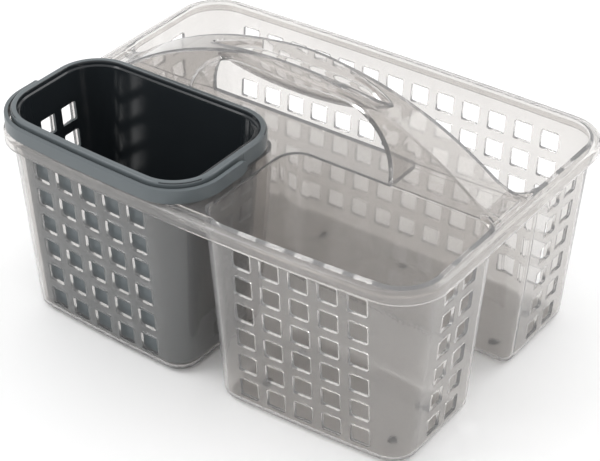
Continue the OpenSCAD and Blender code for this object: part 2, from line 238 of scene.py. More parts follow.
def carve(obj, tool, operation):
    """Joins tool to obj, or cuts or keeps obj by it, and removes the tool."""
    modifier = obj.modifiers.new("carve", "BOOLEAN")
    modifier.operation = operation
    modifier.solver = "MANIFOLD"
    modifier.object = tool
    apply_modifiers(obj)
    bpy.data.meshes.remove(tool.data)
    if not obj.data.polygons:
        raise RuntimeError(f"{obj.name} came out empty from {operation}")


def face_out(obj):
    """Turns every face of a closed mesh outwards."""
    edit(obj)
    bpy.ops.mesh.select_all(action="SELECT")
    bpy.ops.mesh.normals_make_consistent(inside=False)
    leave_edit()


def bow_out(x, y, front, back, half):
    """How far a point of an outline moves in Y as the front and the back bow out."""
    share = 1 - (x / half) ** 2
    return -front * share if y < 0 else back * share


def outline(name, left, right, near, far, z, near_radius, far_radius, arc=12, columns=16):
    """A flat rounded plan: a plane with its corners bevelled and its long sides divided, near and far being
    where the sides would stand with no bow."""
    select_none()
    bpy.ops.mesh.primitive_plane_add(size=1, location=((left + right) / 2, (near + far) / 2, z))
    plan = bpy.context.object
    plan.name = name
    plan.scale = (right - left, far - near, 1)
    bpy.ops.object.transform_apply(location=True, rotation=True, scale=True)
    bm = edit(plan)
    for is_near, radius in ((True, near_radius), (False, far_radius)):
        bm.verts.ensure_lookup_table()
        edge_y = near if is_near else far
        corners = [v for v in bm.verts if abs(v.co.y - edge_y) < 1e-6
                   and min(abs(v.co.x - left), abs(v.co.x - right)) < 1e-6]
        pick(bm, verts=corners)
        bpy.ops.mesh.bevel(offset=radius, segments=arc, affect="VERTICES", profile=0.5)
        bm = bmesh.from_edit_mesh(plan.data)
    for edge_y in (near, far):
        long_side = [e for e in bm.edges if all(abs(v.co.y - edge_y) < 1e-6 for v in e.verts)]
        pick(bm, edges=long_side)
        bpy.ops.mesh.subdivide(number_cuts=columns - 1)
        bm = bmesh.from_edit_mesh(plan.data)
    leave_edit()
    return plan


def bow_plan(plan, front, back, half):
    """Bows the long sides of a flat plan out."""
    for vertex in plan.data.vertices:
        vertex.co.y += bow_out(vertex.co.x, vertex.co.y, front, back, half)


def raise_levels(plan, levels):
    """Makes a closed solid of a plan: each level is how far the cap shrinks, then how far it rises."""
    bm = edit(plan)
    pick(bm, faces=bm.faces)
    for shrink, rise in levels:
        if shrink <= 1e-7:
            bpy.ops.mesh.extrude_region_move(TRANSFORM_OT_translate={"value": (0, 0, rise)})
        else:
            bpy.ops.mesh.inset(thickness=shrink, depth=0, use_even_offset=True, use_boundary=True)
            bpy.ops.transform.translate(value=(0, 0, rise))
    leave_edit()
    face_out(plan)
    return plan


def profile_levels(points):
    """Levels for raise_levels from (offset, height) points along a section."""
    return [(a[0] - b[0], b[1] - a[1]) for a, b in zip(points, points[1:])]


def levels_after_drop(points, drop):
    """The same, with a straight step of drop first, so that the plan is closed before it shrinks."""
    return [(0, drop)] + profile_levels([(points[0][0], points[0][1] + drop)] + points[1:])


def leaning_section(top_z, floor_z, foot, lean, base_z, inset, steps=6):
    """Section of a leaning wall from its top down round its foot: offsets are zero on its face at base_z."""
    slope = math.atan(lean)
    turn_z = floor_z + foot * (1 - math.sin(slope))

    def wall(z):
        return -inset - lean * (base_z - z)

    centre = wall(turn_z) - foot * math.cos(slope)
    points = [(wall(top_z), top_z), (wall(turn_z), turn_z)]
    for step in range(1, steps + 1):
        angle = -slope + (slope - math.pi / 2) * step / steps
        points.append((centre + foot * math.cos(angle), floor_z + foot + foot * math.sin(angle)))
    return points


def block(name, low, high):
    """A box between two corners."""
    select_none()
    low, high = Vector(low), Vector(high)
    bpy.ops.mesh.primitive_cube_add(size=1, location=(low + high) / 2)
    obj = bpy.context.object
    obj.name = name
    obj.scale = high - low
    bpy.ops.object.transform_apply(location=True, rotation=True, scale=True)
    return obj


def ring_loft(name, rings):
    """A closed solid through rings of equal count: a cylinder divided along its length, fitted to each."""
    count = len(rings[0])
    select_none()
    bpy.ops.mesh.primitive_circle_add(vertices=count, radius=1, fill_type="NGON")
    obj = bpy.context.object
    obj.name = name
    bm = edit(obj)
    pick(bm, faces=bm.faces)
    for _ in rings[1:]:
        bpy.ops.mesh.extrude_region_move(TRANSFORM_OT_translate={"value": (0, 0, 1)})
    leave_edit()

    def turn(vertex):
        return math.atan2(vertex.co.y, vertex.co.x) % (2 * math.pi) + 1e-6

    order = sorted(obj.data.vertices, key=lambda v: (round(v.co.z), turn(v)))
    for index, vertex in enumerate(order):
        obj.data.vertices[vertex.index].co = rings[index // count][index % count]
    face_out(obj)
    return obj


# ---------------------------------------------------------------- tote

def plan_sides(sizes):
    """Half length, near side and far side of the tote's plan at the rim, before it bows out."""
    return (RIM_HIGH.x - sizes.lip_out,
            RIM_LOW.y + sizes.lip_out + sizes.front_bow,
            RIM_HIGH.y - sizes.lip_out - sizes.back_bow)


def well_plans(sizes):
    """Name, left, right, near, far and corner radii of each well's plan at the rim."""
    half, near, far = plan_sides(sizes)
    saddle = sizes.saddle_gap / 2
    return [
        ("left_well", -half, -saddle, near, -sizes.gap_front, sizes.corner, sizes.inner_corner),
        ("right_well", saddle, half, near, -sizes.gap_front, sizes.corner, sizes.inner_corner),
        ("back_well", -half, half, sizes.gap_back, far, sizes.inner_corner, sizes.corner),
    ]


def well_solid(sizes, plan, offset, points):
    """One well as a solid from its plan: offset grows the plan to the first point of the section."""
    name, left, right, near, far, near_radius, far_radius = plan
    half = plan_sides(sizes)[0]
    shape = outline(name, left - offset, right + offset, near - offset, far + offset, points[0][1],
                    near_radius + offset, far_radius + offset)
    bow_front = -sizes.gap_front - sizes.inner_corner
    bow_back = sizes.gap_back + sizes.inner_corner
    for vertex in shape.data.vertices:
        if vertex.co.y < bow_front or vertex.co.y > bow_back:
            vertex.co.y += bow_out(vertex.co.x, vertex.co.y, sizes.front_bow, sizes.back_bow, half)
    return raise_levels(shape, levels_after_drop(points, -0.5 * MM))


def loop_solid(sizes, name, points):
    """A solid from the plan of the whole tote, through (offset, height) points of a section."""
    half, near, far = plan_sides(sizes)
    grow = points[0][0]
    shape = outline(name, -half - grow, half + grow, near - grow, far + grow, points[0][1],
                    sizes.corner + grow, sizes.corner + grow, columns=32)
    bow_plan(shape, sizes.front_bow, sizes.back_bow, half)
    return raise_levels(shape, profile_levels(points))


def rim_ring(sizes):
    """The rim: a top that slopes out from the inner edge, and the skirt that hangs from it."""
    out, skirt = sizes.lip_out, sizes.lip_out - sizes.lip_wall
    top = RIM_TOP
    ring = loop_solid(sizes, "rim_ring", [
        (out - 0.4 * MM, SKIRT_LOW), (out - 0.4 * MM, SKIRT_LOW + 0.01 * MM),
        (out - 0.4 * MM, SKIRT_LOW + 0.4 * MM), (out - 0.4 * MM, top - 3.2 * MM),
        (out - 0.7 * MM, top - 2.3 * MM), (out - 1.3 * MM, top - 1.65 * MM),
        (out - 2.2 * MM, top - 1.2 * MM), (0.6 * MM, top - 0.45 * MM),
        (-1.3 * MM, top - 0.08 * MM), (-2.2 * MM, top)])
    under = loop_solid(sizes, "rim_under", [
        (skirt - 0.4 * MM, SKIRT_LOW - 2 * MM), (skirt - 0.4 * MM, top - 5.6 * MM),
        (skirt - 0.8 * MM, top - 4.5 * MM), (skirt - 1.7 * MM, top - 3.7 * MM),
        (0.3 * MM, top - 3.1 * MM), (-1.2 * MM, top - 2.9 * MM)])
    carve(ring, under, "DIFFERENCE")
    # it reaches past the inside of the walls, and each well's own cut gives it its inner edge
    hollow = loop_solid(sizes, "rim_hollow", [
        (-sizes.wall - sizes.rim_root, SKIRT_LOW - 2 * MM), (-sizes.wall - sizes.rim_root, top + 2 * MM)])
    carve(ring, hollow, "DIFFERENCE")
    # the curtain that closes the notches between the wells, just inside their outer faces
    curtain = loop_solid(sizes, "curtain", [
        (-0.3 * MM, top - 1 * MM), (-0.3 * MM, top - 1.5 * MM), (-1 * MM, SKIRT_LOW)])
    inside = loop_solid(sizes, "curtain_in", [
        (-sizes.wall + 0.1 * MM, top), (-sizes.wall + 0.1 * MM, top - 0.5 * MM),
        (-sizes.wall - 0.6 * MM, SKIRT_LOW - 2 * MM)])
    carve(curtain, inside, "DIFFERENCE")
    carve(ring, curtain, "UNION")
    return ring


def crown_arc(handle):
    """Radius and centre height of the arc over the handle."""
    rise = CROWN_TOP - RIM_TOP
    radius = (handle.span ** 2 + rise ** 2) / (2 * rise)
    return radius, CROWN_TOP - radius


def crown_height(handle, x):
    """Top of the handle at x: the crown arc, then a hollow sweep that brings it level with the rim."""
    radius, centre = crown_arc(handle)
    sweep = handle.sweep
    # the two arcs touch where the sum of their radii spans the gap between their centres
    reach = math.sqrt((radius + sweep) ** 2 - (RIM_TOP + sweep - centre) ** 2)
    touch = reach * radius / (radius + sweep)
    x = abs(x)
    if x <= touch:
        return centre + math.sqrt(radius ** 2 - x ** 2)
    if x >= reach:
        return RIM_TOP
    return RIM_TOP + sweep - math.sqrt(sweep ** 2 - (reach - x) ** 2)


def handle_loft(sizes, handle, name, inset, low, reach, stations=73):
    """The handle as a solid band over the divider, its edges rounded, set in by inset."""
    deck = RIM_TOP - sizes.deck_drop
    middle = (sizes.gap_back - sizes.gap_front) / 2
    slope = (handle.band_foot - handle.band) / (CROWN_TOP - deck)
    edge = max(1.6 * MM - inset / 2, 0.4 * MM)

    def half_width(z):
        return handle.band_foot - slope * (z - deck) - inset

    rings = []
    for station in range(stations):
        x = -reach + 2 * reach * station / (stations - 1)
        top = crown_height(handle, x) - inset
        side = [(half_width(low), low), (half_width(top - edge), top - edge)]
        for step in range(1, 4):
            angle = math.radians(90 * step / 3)
            side.append((half_width(top) - edge * (1 - math.cos(angle)), top - edge * (1 - math.sin(angle))))
        ring = [(x, middle + w, z) for w, z in side] + [(x, middle - w, z) for w, z in reversed(side)]
        rings.append(ring)
    return ring_loft(name, rings)


def finger_window(sizes, handle, name, grow):
    """A prism the shape of the finger opening, grown all round, to cut along Y."""
    deck = RIM_TOP - sizes.deck_drop
    top = deck + handle.window_h + grow
    low = deck + (0 if grow == 0 else -4 * MM)
    half = handle.window_x + grow
    radius = handle.window_r + grow
    depth = 40 * MM
    select_none()
    bpy.ops.mesh.primitive_plane_add(size=1, location=(0, -depth, (top + low) / 2),
                                     rotation=(math.pi / 2, 0, 0))
    prism = bpy.context.object
    prism.name = name
    prism.scale = (2 * half, top - low, 1)
    bpy.ops.object.transform_apply(location=True, rotation=True, scale=True)
    bm = edit(prism)
    pick(bm, verts=[v for v in bm.verts if v.co.z > (top + low) / 2])
    bpy.ops.mesh.bevel(offset=radius, segments=18, affect="VERTICES", profile=0.5)
    bm = bmesh.from_edit_mesh(prism.data)
    pick(bm, faces=bm.faces)
    bpy.ops.mesh.extrude_region_move(TRANSFORM_OT_translate={"value": (0, 2 * depth, 0)})
    leave_edit()
    face_out(prism)
    return prism


def grip_boat(sizes, handle, name, inset, lift, stations=49):
    """The boat-shaped grip: a lens from above, round below its axis, its top on the crown raised by lift."""
    middle = (sizes.gap_back - sizes.gap_front) / 2
    axis = RIM_TOP + handle.grip_z
    tip = handle.grip_x - inset
    rings = []
    for station in range(stations):
        angle = math.pi * (station + 0.5) / stations
        x = -tip * math.cos(angle)
        half = (handle.band - inset) * (1 - (x / tip) ** 2) ** handle.grip_blunt
        top = max(crown_height(handle, x) + lift, axis + 0.1 * MM)
        ring = [(x, middle + half, top)]
        for step in range(0, 13):
            turn = math.pi * step / 12
            ring.append((x, middle + half * math.cos(turn), axis - half * math.sin(turn)))
        ring.append((x, middle - half, top))
        rings.append(ring)
    return ring_loft(name, rings)


def opening_cutters(sizes, places):
    """One mesh of rounded square prisms: places are (point on the face, direction, depth) of each opening."""
    select_none()
    bpy.ops.mesh.primitive_plane_add(size=sizes.hole, location=(0, 0, 0))
    cutter = bpy.context.object
    cutter.name = "openings"
    bm = edit(cutter)
    pick(bm, verts=bm.verts)
    bpy.ops.mesh.bevel(offset=sizes.hole_corner, segments=3, affect="VERTICES", profile=0.5)
    bm = bmesh.from_edit_mesh(cutter.data)
    pick(bm, faces=bm.faces)
    bpy.ops.mesh.extrude_region_move(TRANSFORM_OT_translate={"value": (0, 0, 1)})
    leave_edit()
    face_out(cutter)
    copies = []
    for place, direction, depth in places:
        copy = cutter.copy()
        copy.data = cutter.data.copy()
        bpy.context.scene.collection.objects.link(copy)
        turn = Vector(direction).to_track_quat("Z", "Y").to_matrix().to_4x4()
        copy.data.transform(Matrix.Translation(Vector(place)) @ turn @ Matrix.Diagonal((1, 1, depth, 1)))
        copies.append(copy)
    bpy.data.meshes.remove(cutter.data)
    select_none()
    for copy in copies:
        copy.select_set(True)
    bpy.context.view_layer.objects.active = copies[0]
    bpy.ops.object.join()
    joined = bpy.context.object
    joined.name = "openings"
    face_out(joined)
    return joined


def tote_openings(sizes):
    """Where every opening of the tote is cut."""
    rows = [RIM_TOP - sizes.row_drop - sizes.hole / 2 - row * sizes.row_pitch for row in range(sizes.rows)]
    front, back, side = RIM_LOW.y, RIM_HIGH.y, RIM_HIGH.x
    depth = 34 * MM
    places = []
    for z in rows:
        for sign in (-1, 1):
            for column in range(5):
                places.append(((sign * (column + 2) * sizes.pitch, front, z), (0, 1, 0), depth))
            for y in FRONT_COLUMNS + BACK_COLUMNS:
                places.append(((sign * side, y, z), (-sign, 0, 0), depth))
        for column in range(-6, 7):
            places.append(((column * sizes.pitch, back, z), (0, -1, 0), depth))
    return places


def tote_shell(sizes, handle):
    """The whole clear moulding as one closed skin."""
    deck = RIM_TOP - sizes.deck_drop
    wall = sizes.wall
    shell = rim_ring(sizes)
    plans = well_plans(sizes)
    for plan in plans:
        section = leaning_section(RIM_TOP - 1.4 * MM, MM, sizes.foot, sizes.lean, RIM_TOP, 0)
        carve(shell, well_solid(sizes, plan, section[0][0], section), "UNION")
    side = plan_sides(sizes)[0] - 1.6 * MM
    carve(shell, block("deck", (-side, -sizes.gap_front - DECK_LAP, deck - wall),
                       (side, sizes.gap_back + DECK_LAP, deck)), "UNION")
    front = RIM_LOW.y + sizes.lip_out + 1.6 * MM
    carve(shell, block("saddle", (-SADDLE_HALF, front, deck - wall),
                       (SADDLE_HALF, -sizes.gap_front, deck)), "UNION")
    top = RIM_TOP + CUT_RISE
    carve(shell, block("above_deck", (-handle.span, -sizes.gap_front - wall - CUT_PAST, deck),
                       (handle.span, sizes.gap_back + wall + CUT_PAST, top)), "DIFFERENCE")
    saddle = sizes.saddle_gap / 2
    carve(shell, block("above_saddle", (-saddle - wall - CUT_PAST, front + 12 * MM, deck),
                       (saddle + wall + CUT_PAST, 0, top)), "DIFFERENCE")
    corner = sizes.inner_corner
    carve(shell, block("above_corners", (-saddle - corner, -sizes.gap_front - corner, deck),
                       (saddle + corner, 0, top)), "DIFFERENCE")
    carve(shell, handle_loft(sizes, handle, "band", 0, deck - 1 * MM, side - 0.4 * MM), "UNION")
    carve(shell, finger_window(sizes, handle, "window", 0), "DIFFERENCE")
    hollow = handle_loft(sizes, handle, "band_hollow", wall, deck - 2 * wall, side - 3.5 * MM)
    carve(hollow, finger_window(sizes, handle, "window_wall", wall), "DIFFERENCE")
    carve(shell, hollow, "DIFFERENCE")
    carve(shell, grip_boat(sizes, handle, "grip", 0, -0.05 * MM), "UNION")
    carve(shell, grip_boat(sizes, handle, "grip_dish", wall, 4 * MM), "DIFFERENCE")
    for plan in plans:
        inner = leaning_section(RIM_TOP - 0.7 * MM, MM + wall, sizes.foot - wall, sizes.lean, RIM_TOP, wall)
        # the inner edge of the rim is eased by a small radius
        eased = [(inner[0][0] + 0.9 * MM, RIM_TOP + 0.5 * MM), (inner[0][0] + 0.35 * MM, RIM_TOP - 0.1 * MM)]
        carve(shell, well_solid(sizes, plan, eased[0][0], eased + inner), "DIFFERENCE")
    carve(shell, opening_cutters(sizes, tote_openings(sizes)), "DIFFERENCE")
    return shell


def foot_pads(sizes):
    """Small round moulded feet under each well."""
    spots = []
    for sign in (-1, 1):
        for x in FOOT_X:
            spots += [(sign * x, y) for y in FOOT_Y]
    pads = []
    for x, y in spots:
        select_none()
        bpy.ops.mesh.primitive_cylinder_add(vertices=24, radius=3.5 * MM, depth=2 * MM,
                                            location=(x * MM, y * MM, 1 * MM))
        pad = bpy.context.object
        bpy.ops.object.transform_apply(location=True, rotation=True, scale=True)
        bm = edit(pad)
        pick(bm, edges=[e for e in bm.edges if all(v.co.z < 0.2 * MM for v in e.verts)])
        bpy.ops.mesh.bevel(offset=0.4 * MM, segments=2, affect="EDGES")
        leave_edit()
        pads.append(pad)
    return pads


# ---------------------------------------------------------------- basket and bail

def basket_solid(tote, basket, name, points, first_drop=0.0, more=0.0):
    """A solid from the basket's plan, through (offset, height) points, its right end more to the right."""
    half, near, _ = plan_sides(tote)
    near += tote.wall + basket.gap
    grow = points[0][0]
    shape = outline(name, basket.left - grow, basket.right + grow + more, near - grow, basket.back + grow,
                    points[0][1], basket.corner + grow, basket.corner + grow, arc=14)
    for vertex in shape.data.vertices:
        if vertex.co.y < PIVOT.y:
            vertex.co.y += bow_out(vertex.co.x, vertex.co.y, tote.front_bow, 0, half)
    return raise_levels(shape, levels_after_drop(points, first_drop) if first_drop else profile_levels(points))


def basket_shell(tote, basket):
    """The basket: a leaning tub with a lip, a deeper flange behind the pivots, and the two pivot bosses."""
    flare = tote.lean * (BASKET_TOP - RIM_TOP)
    lip_low = BASKET_TOP - basket.lip_depth
    out = flare + basket.lip
    shell = basket_solid(tote, basket, "basket", [
        (out, lip_low), (out, BASKET_TOP - 1.6 * MM), (out - 0.3 * MM, BASKET_TOP - 0.85 * MM),
        (out - 0.85 * MM, BASKET_TOP - 0.3 * MM), (out - 1.6 * MM, BASKET_TOP)], more=basket.step)
    body = leaning_section(BASKET_TOP - 0.6 * MM, basket.floor_z, basket.foot, tote.lean, RIM_TOP, 0)
    carve(shell, basket_solid(tote, basket, "tub", body, -0.5 * MM), "UNION")
    # the flange behind the pivots
    flange_low = RIM_TOP + 3.5 * MM
    rear = flare + basket.flange
    flange = basket_solid(tote, basket, "flange", [
        (rear, flange_low), (rear, BASKET_TOP - 1.6 * MM), (rear - 0.4 * MM, BASKET_TOP - 0.9 * MM),
        (rear - 1.1 * MM, BASKET_TOP - 0.5 * MM)], more=basket.step)
    flange_in = basket_solid(tote, basket, "flange_in", [
        (rear - 2.2 * MM, flange_low - MM), (rear - 2.2 * MM, flange_low + 2.5 * MM)], more=basket.step)
    carve(flange, flange_in, "DIFFERENCE")
    start = PIVOT.y + 6.3 * MM
    carve(flange, block("front_half", (-0.3, -0.3, 0.1), (0.3, start, 0.2)), "DIFFERENCE")
    carve(shell, flange, "UNION")
    for sign in (-1, 1):
        face = basket_face(basket, sign)
        inside = face - sign * 1.2 * MM
        outside = face + sign * (flare + basket.flange) + (basket.step if sign > 0 else 0)
        carve(shell, pin("boss", inside, outside, 4.8 * MM, 0.5 * MM), "UNION")
        carve(shell, pin("socket", face + sign * 0.4 * MM, outside + sign * 4 * MM,
                         basket.pin_r + 0.06 * MM, 0), "DIFFERENCE")
    inner = leaning_section(BASKET_TOP - 1.6 * MM, basket.floor_z + basket.wall, basket.foot - basket.wall,
                            tote.lean, RIM_TOP, basket.wall)
    # the mouth is rounded over towards the lip
    carve(shell, basket_solid(tote, basket, "inside", inner, -0.5 * MM), "DIFFERENCE")
    start = inner[0][0] + basket.mouth
    carve(shell, basket_solid(tote, basket, "mouth", [
        (start + 1.2 * MM, BASKET_TOP + 0.4 * MM), (start + 0.5 * MM, BASKET_TOP - 0.3 * MM),
        (start, BASKET_TOP - 1.1 * MM), (start - 0.2 * MM, BASKET_TOP - 3 * MM),
        (start - 1 * MM, BASKET_TOP - 4 * MM)],
        -0.1 * MM, basket.step), "DIFFERENCE")
    places = []
    for row in range(tote.rows):
        z = RIM_TOP - basket.first_row - tote.hole / 2 - row * tote.row_pitch
        for y in FRONT_COLUMNS:
            places.append(((basket.right + 2 * MM, y, z), (-1, 0, 0), 20 * MM))
            places.append(((basket.left - 2 * MM, y, z), (1, 0, 0), 20 * MM))
    carve(shell, opening_cutters(tote, places), "DIFFERENCE")
    return shell


def paint_shade_inside(shell, tote, basket):
    """Gives the inside faces of the basket, up to the edge of its lip, the second material: the same grey,
    glossier, and darker as painted shade for the deep hollow.
    """
    for face in shell.data.polygons:
        centre, normal = face.center, face.normal
        collar = centre.z > BASKET_TOP - 5 * MM
        depth = inside_depth(centre, tote, basket, basket.step if collar else 0)
        toward = Vector(((basket.left + basket.right) / 2 - centre.x, PIVOT.y - centre.y))
        inwards = toward.x * normal.x + toward.y * normal.y > 0.2 * toward.length
        upwards = normal.z > 0.5 and (collar or centre.z < basket.floor_z + basket.wall + basket.foot)
        inner_side = depth > (-2.2 * MM if collar else basket.wall - 0.3 * MM)
        if centre.z < BASKET_TOP - 0.3 * MM and (inwards or upwards) and inner_side:
            # these faces take the darker material, which paints shade on the inside of the basket
            face.material_index = 1


def inside_depth(point, tote, basket, more):
    """How far a point lies inside the outer face of the nearest wall, the right end more to the right."""
    shift = tote.lean * (point.z - RIM_TOP)
    front = RIM_LOW.y + tote.lip_out + tote.wall + basket.gap
    front += tote.front_bow * (point.x / (RIM_HIGH.x - tote.lip_out)) ** 2
    return shift + min(point.x - basket.left, basket.right + more - point.x,
                       basket.back - point.y, point.y - front)


def basket_face(basket, sign):
    """X of the basket's end wall at the tote rim, on that side."""
    return basket.right if sign > 0 else basket.left


def pin(name, start, end, radius, edge):
    """A round bar on the bail's axis from x = start to x = end."""
    select_none()
    bpy.ops.mesh.primitive_cylinder_add(vertices=48, radius=radius, depth=abs(end - start),
                                        location=((start + end) / 2, PIVOT.y, PIVOT.z),
                                        rotation=(0, math.pi / 2, 0))
    bar = bpy.context.object
    bar.name = name
    bpy.ops.object.transform_apply(location=True, rotation=True, scale=True)
    if edge:
        bm = edit(bar)
        pick(bm, edges=[e for e in bm.edges if abs(e.verts[0].co.x - e.verts[1].co.x) < 1e-6])
        bpy.ops.mesh.bevel(offset=edge, segments=2, affect="EDGES")
        leave_edit()
    return bar


def bail_strap(tote, basket):
    """The bail: a strap round the front half of the basket, with a round end and a pin at each side."""
    flare = tote.lean * (BASKET_TOP - RIM_TOP)
    inner, outer = flare + basket.bail_gap, flare + basket.bail_gap + basket.bail_t
    low, high = BAIL_LOW.z, BAIL_HIGH.z
    edge = 0.8 * MM
    strap = basket_solid(tote, basket, "bail", [
        (outer, low), (outer, high - edge), (outer - 0.25 * edge, high - 0.3 * edge), (outer - edge, high)],
        more=basket.step)
    carve(strap, basket_solid(tote, basket, "bail_in", [(inner, low - MM), (inner, high + MM)],
                              more=basket.step), "DIFFERENCE")
    carve(strap, block("back_half", (-0.3, PIVOT.y, 0.1), (0.3, 0.3, 0.2)), "DIFFERENCE")
    for sign in (-1, 1):
        face = basket_face(basket, sign)
        reach = basket.step if sign > 0 else 0
        ends = (face + sign * inner + reach, face + sign * outer + reach)
        carve(strap, pin("end", ends[0], ends[1], (high - low) / 2, 0.5 * MM), "UNION")
        carve(strap, pin("pivot", face + sign * (flare + 0.6 * MM), ends[0] + sign * MM,
                         basket.pin_r, 0), "UNION")
    return strap


def finish_piece(obj, name, body, nodes, material, angle=32):
    """Tidies a finished mesh, gives it its finish and hangs it on its body of the frame."""
    obj.name = name
    edit(obj)
    bpy.ops.mesh.select_all(action="SELECT")
    bpy.ops.mesh.remove_doubles(threshold=0.004 * MM)
    leave_edit()
    select_only(obj)
    bpy.ops.object.shade_smooth_by_angle(angle=math.radians(angle))
    weighted = obj.modifiers.new("flat faces stay flat", "WEIGHTED_NORMAL")
    weighted.keep_sharp = True
    apply_modifiers(obj)
    obj.data.materials.clear()
    obj.data.materials.append(material)
    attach(obj, body)
    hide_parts(*nodes)
    return obj


# ---------------------------------------------------------------- finishes

def add_node(tree, kind, links=(), **settings):
    """Adds a shader node: settings fill its properties or inputs, links are (output, input name) pairs."""
    node = tree.nodes.new(kind)
    for name, value in settings.items():
        if hasattr(node, name):
            setattr(node, name, value)
        else:
            node.inputs[name.replace("_", " ")].default_value = value
    for output, name in links:
        tree.links.new(output, node.inputs[name])
    return node


def new_material(name):
    """An empty material: itself, its node tree, and the Object coordinates in it."""
    material = bpy.data.materials.new(name)
    material.use_nodes = True
    tree = material.node_tree
    tree.nodes.clear()
    return material, tree, add_node(tree, "ShaderNodeTexCoord").outputs["Object"]


def shades(tree, factor, hex_colour, low, high):
    """A node that runs between two shades of a colour, low and high times as bright."""
    node = add_node(tree, "ShaderNodeMix", [(factor, "Factor")], data_type="RGBA")
    for socket, share in (("A", low), ("B", high)):
        node.inputs[socket].default_value = [c * share for c in linear(hex_colour)[:3]] + [1.0]
    return node


def clear_polypropylene(tint, milk):
    """Clarified polypropylene with a smoke tint, injection moulded in a polished tool: clear, glossy and
    slightly milky, with faint flow waves that bend what is seen through it."""
    material, tree, place = new_material("Smoke-clear clarified polypropylene")
    # flow waves about 14 mm long
    waves = add_node(tree, "ShaderNodeTexNoise", [(place, "Vector")], Scale=60.0, Detail=1.0, Roughness=0.4)
    haze = add_node(tree, "ShaderNodeTexNoise", [(place, "Vector")], Scale=220.0, Detail=3.0, Roughness=0.6)
    gloss = add_node(tree, "ShaderNodeMapRange", [(haze.outputs["Fac"], "Value")], To_Min=0.015, To_Max=0.07)
    bump = add_node(tree, "ShaderNodeBump", [(waves.outputs["Fac"], "Height")],
                    Strength=0.02, Distance=0.4 * MM)
    streaks = shades(tree, waves.outputs["Fac"], tint, 1, 0.96)
    shader = add_node(tree, "ShaderNodeBsdfPrincipled",
                      [(streaks.outputs["Result"], "Base Color"), (gloss.outputs["Result"], "Roughness"),
                       (bump.outputs["Normal"], "Normal")],
                      IOR=1.49, Transmission_Weight=1.0)
    # the milky share: light that enters and comes out scattered, on both sides of a wall
    glow = add_node(tree, "ShaderNodeBsdfTranslucent")
    glow.inputs["Color"].default_value = linear(milk)
    chalk = add_node(tree, "ShaderNodeBsdfDiffuse", Roughness=0.4)
    chalk.inputs["Color"].default_value = linear(milk)
    scatter = add_node(tree, "ShaderNodeMixShader")
    scatter.inputs[0].default_value = 0.3
    tree.links.new(glow.outputs["BSDF"], scatter.inputs[1])
    tree.links.new(chalk.outputs["BSDF"], scatter.inputs[2])
    cloud = add_node(tree, "ShaderNodeMapRange", [(haze.outputs["Fac"], "Value")], To_Min=0.11, To_Max=0.16)
    blend = add_node(tree, "ShaderNodeMixShader", [(cloud.outputs["Result"], "Fac")])
    tree.links.new(shader.outputs["BSDF"], blend.inputs[1])
    tree.links.new(scatter.outputs["Shader"], blend.inputs[2])
    add_node(tree, "ShaderNodeOutputMaterial", [(blend.outputs["Shader"], "Surface")])
    return material


def grey_polypropylene(name, hex_colour, gloss_low, gloss_high):
    """Pigmented polypropylene, injection moulded in a fine spark-eroded tool: a soft satin sheen, very fine
    grain and slightly cloudy pigment."""
    material, tree, place = new_material(name)
    # clouds of pigment about 25 mm across, and tool grain drawn at 0.6 mm so that it shows
    clouds = add_node(tree, "ShaderNodeTexNoise", [(place, "Vector")], Scale=40.0, Detail=3.0, Roughness=0.5)
    grain = add_node(tree, "ShaderNodeTexNoise", [(place, "Vector")], Scale=1600.0, Detail=2.0, Roughness=0.6)
    shade = shades(tree, clouds.outputs["Fac"], hex_colour, 0.93, 1.07)
    gloss = add_node(tree, "ShaderNodeMapRange", [(clouds.outputs["Fac"], "Value")],
                     To_Min=gloss_low, To_Max=gloss_high)
    bump = add_node(tree, "ShaderNodeBump", [(grain.outputs["Fac"], "Height")],
                    Strength=0.12, Distance=0.05 * MM)
    shader = add_node(tree, "ShaderNodeBsdfPrincipled",
                      [(shade.outputs["Result"], "Base Color"), (gloss.outputs["Result"], "Roughness"),
                       (bump.outputs["Normal"], "Normal")],
                      IOR=1.49)
    add_node(tree, "ShaderNodeOutputMaterial", [(shader.outputs["BSDF"], "Surface")])
    return material


def studio_paper(hex_colour):
    """Seamless background paper: matt and almost white."""
    material, tree, place = new_material("Seamless studio paper")
    fibres = add_node(tree, "ShaderNodeTexNoise", [(place, "Vector")], Scale=900.0, Detail=2.0)
    bump = add_node(tree, "ShaderNodeBump", [(fibres.outputs["Fac"], "Height")],
                    Strength=0.05, Distance=0.05 * MM)
    shader = add_node(tree, "ShaderNodeBsdfPrincipled", [(bump.outputs["Normal"], "Normal")], Roughness=0.9)
    shader.inputs["Base Color"].default_value = linear(hex_colour)
    add_node(tree, "ShaderNodeOutputMaterial", [(shader.outputs["BSDF"], "Surface")])
    return material


# ---------------------------------------------------------------- operators

class CADDY_OT_tote(bpy.types.Operator):
    """Build the clear tote with its wells, rim, divider and carry handle"""

    bl_idname = "caddy.tote"
    bl_label = "Clear tote"

    def execute(self, context):
        scene = context.scene
        sizes, handle = scene.caddy_tote, scene.caddy_handle
        shell = tote_shell(sizes, handle)
        for pad in foot_pads(sizes):
            carve(shell, pad, "UNION")
        finish_piece(shell, "tote_moulding", "tote",
                     ["left_front_well", "right_front_well", "back_well",
                      "rim", "divider_deck", "carry_handle"],
                     clear_polypropylene(scene.caddy_finishes.shell, scene.caddy_finishes.milk))
        return {"FINISHED"}


